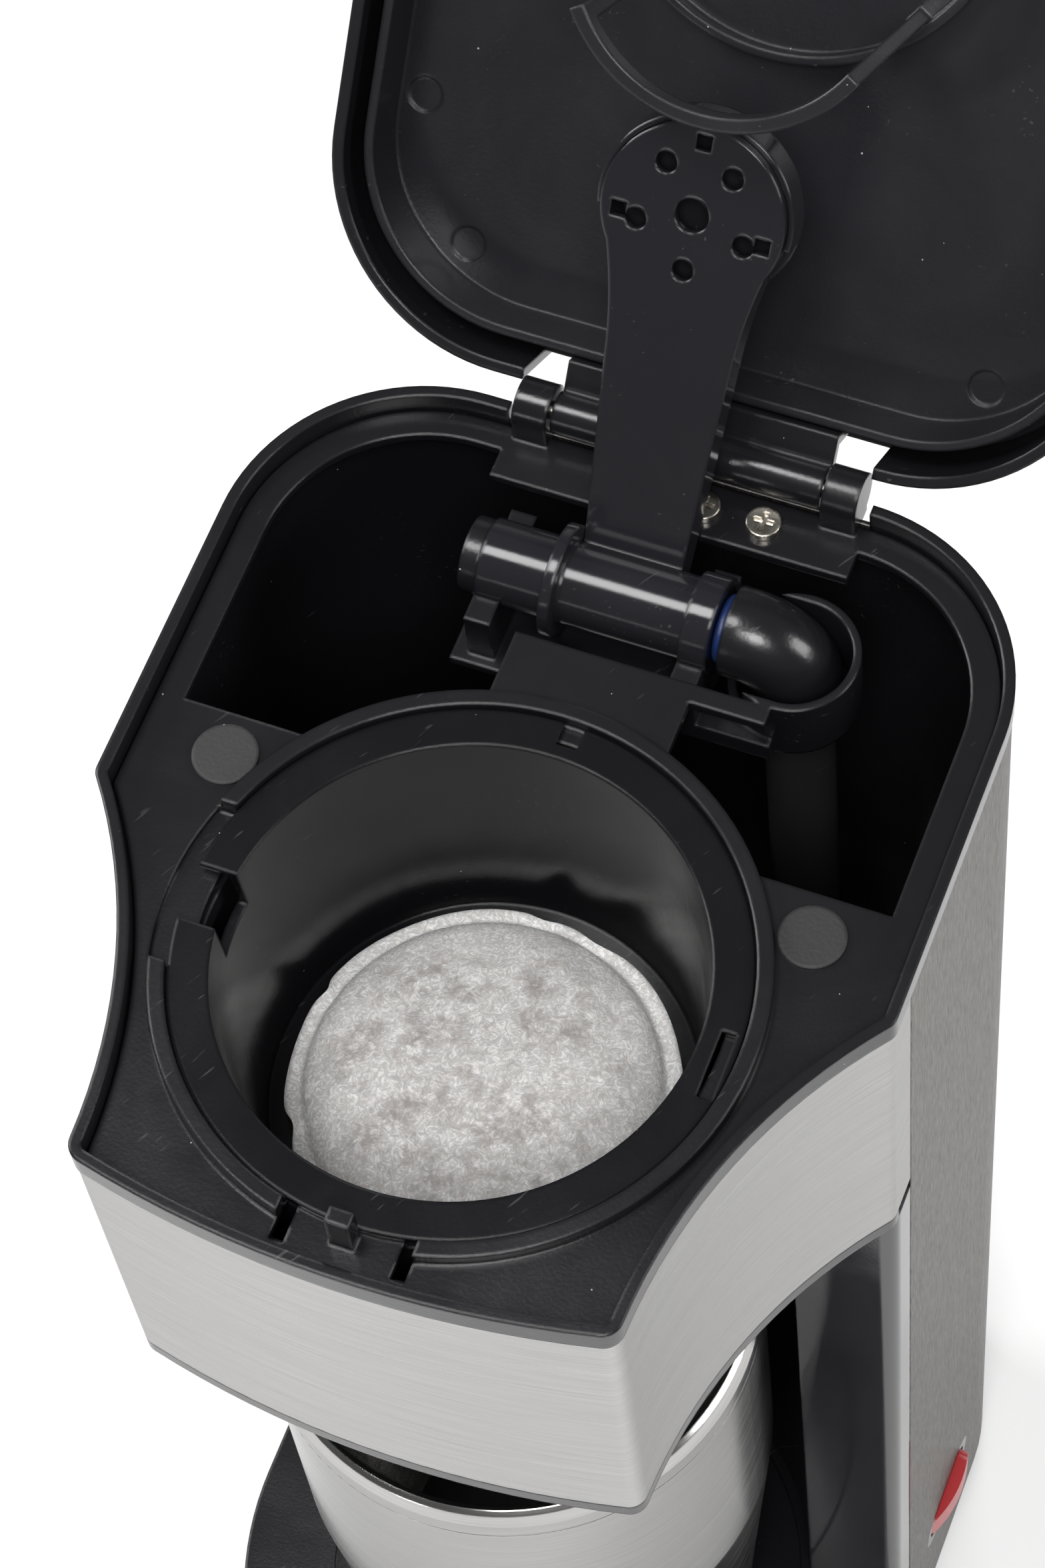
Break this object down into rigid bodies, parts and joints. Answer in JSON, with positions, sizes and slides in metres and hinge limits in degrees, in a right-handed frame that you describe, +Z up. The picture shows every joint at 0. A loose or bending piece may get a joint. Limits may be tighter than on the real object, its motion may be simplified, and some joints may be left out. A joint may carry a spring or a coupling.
{
  "type": "drip coffee maker",
  "caption": "One-cup drip coffee maker with a brushed steel tower, an overhanging brew head, a hinged lid with a swinging water arm, a lift-out basket with a pad, and a steel tumbler.",
  "frame": {"origin": "point on the table under the brew basket's axis, in the plane of the feet", "axes": "+Z up, -Y towards the cup side, +X to the right seen from the cup side"},
  "size_m": [0.1375, 0.2786, 0.4598],
  "materials": {
    "black_moulding": "fine-grained satin black moulding",
    "lid_black": "satin black moulding with dust specks",
    "gloss_black": "glossy black",
    "basket_black": "black moulding, slightly worn",
    "plug_grey": "dark grey matt",
    "brushed_band": "brushed along the head",
    "brushed_wrap": "brushed upright",
    "satin_steel": "satin stainless steel with a bright lip",
    "screw_steel": "zinc-plated",
    "heater_alloy": "cast",
    "silicone_tube": "milky",
    "valve_white": "white",
    "blue_seal": "blue seal",
    "foot_rubber": "matt",
    "pad_paper": "filter paper with coffee showing through",
    "red_rocker": "translucent red"
  },
  "bodies": {
    "frame": {"base_housing": "black_moulding", "base_plate": "black_moulding", "rubber_feet": "foot_rubber", "base_screws": "screw_steel", "tower_wrap": "brushed_wrap", "tower_front_cover": "gloss_black", "tower_shell": "black_moulding", "head_shell": "black_moulding", "head_band": "brushed_band", "top_rim": "black_moulding", "deck": "black_moulding", "deck_plugs": "plug_grey", "deck_screws": "screw_steel", "hinge_rod": "screw_steel", "elbow": "black_moulding", "elbow_oring": "blue_seal", "riser_tube": "plug_grey", "tank_grommet": "silicone_tube", "inlet_hose": "silicone_tube", "check_valve": "valve_white", "heater": "heater_alloy", "heater_clamp": "screw_steel", "thermostat": "valve_white", "thermal_fuse": "screw_steel", "outlet_hose": "silicone_tube", "hose_clips": "screw_steel", "switch_housing": "black_moulding", "cord_gland": "foot_rubber"},
    "lid": {"lid_shell": "black_moulding", "lid_liner": "lid_black", "lid_stirrup": "lid_black"},
    "arm": {"spray_arm": "gloss_black", "spray_cap": "gloss_black", "arm_plug": "black_moulding"},
    "basket": {"brew_basket": "basket_black"},
    "pad": {"filter_pad": "pad_paper"},
    "tumbler": {"tumbler_shell": "satin_steel", "tumbler_liner": "satin_steel", "tumbler_foot": "foot_rubber"},
    "rocker": {"switch_rocker": "red_rocker"}
  },
  "joints": [
    {"name": "lid_hinge", "type": "hinge", "parent": "frame", "child": "lid", "pos_m": [0.0021, 0.099, 0.3365], "axis": [-1, 0, 0], "range_deg": [-127, 0]},
    {"name": "arm_swivel", "type": "hinge", "parent": "frame", "child": "arm", "pos_m": [0, 0.072, 0.331], "axis": [-1, 0, 0], "range_deg": [-125, 0]},
    {"name": "basket_lift", "type": "slide", "parent": "frame", "child": "basket", "axis": [0, 0, 1], "range_m": [0, 0.08]},
    {"name": "pad_lift", "type": "slide", "parent": "basket", "child": "pad", "axis": [0, 0, 1], "range_m": [0, 0.055]},
    {"name": "tumbler_slide", "type": "slide", "parent": "frame", "child": "tumbler", "axis": [0, -0.97, 0.2431], "range_m": [0, 0.14]},
    {"name": "rocker_tilt", "type": "hinge", "parent": "frame", "child": "rocker", "pos_m": [0.0643, 0.045, 0.033], "axis": [0, 0, 1], "range_deg": [0, 14]}
  ],
  "couplings": [
    {"joint": "arm_swivel", "follows": "lid_hinge", "ratio": 0.97638}
  ]
}
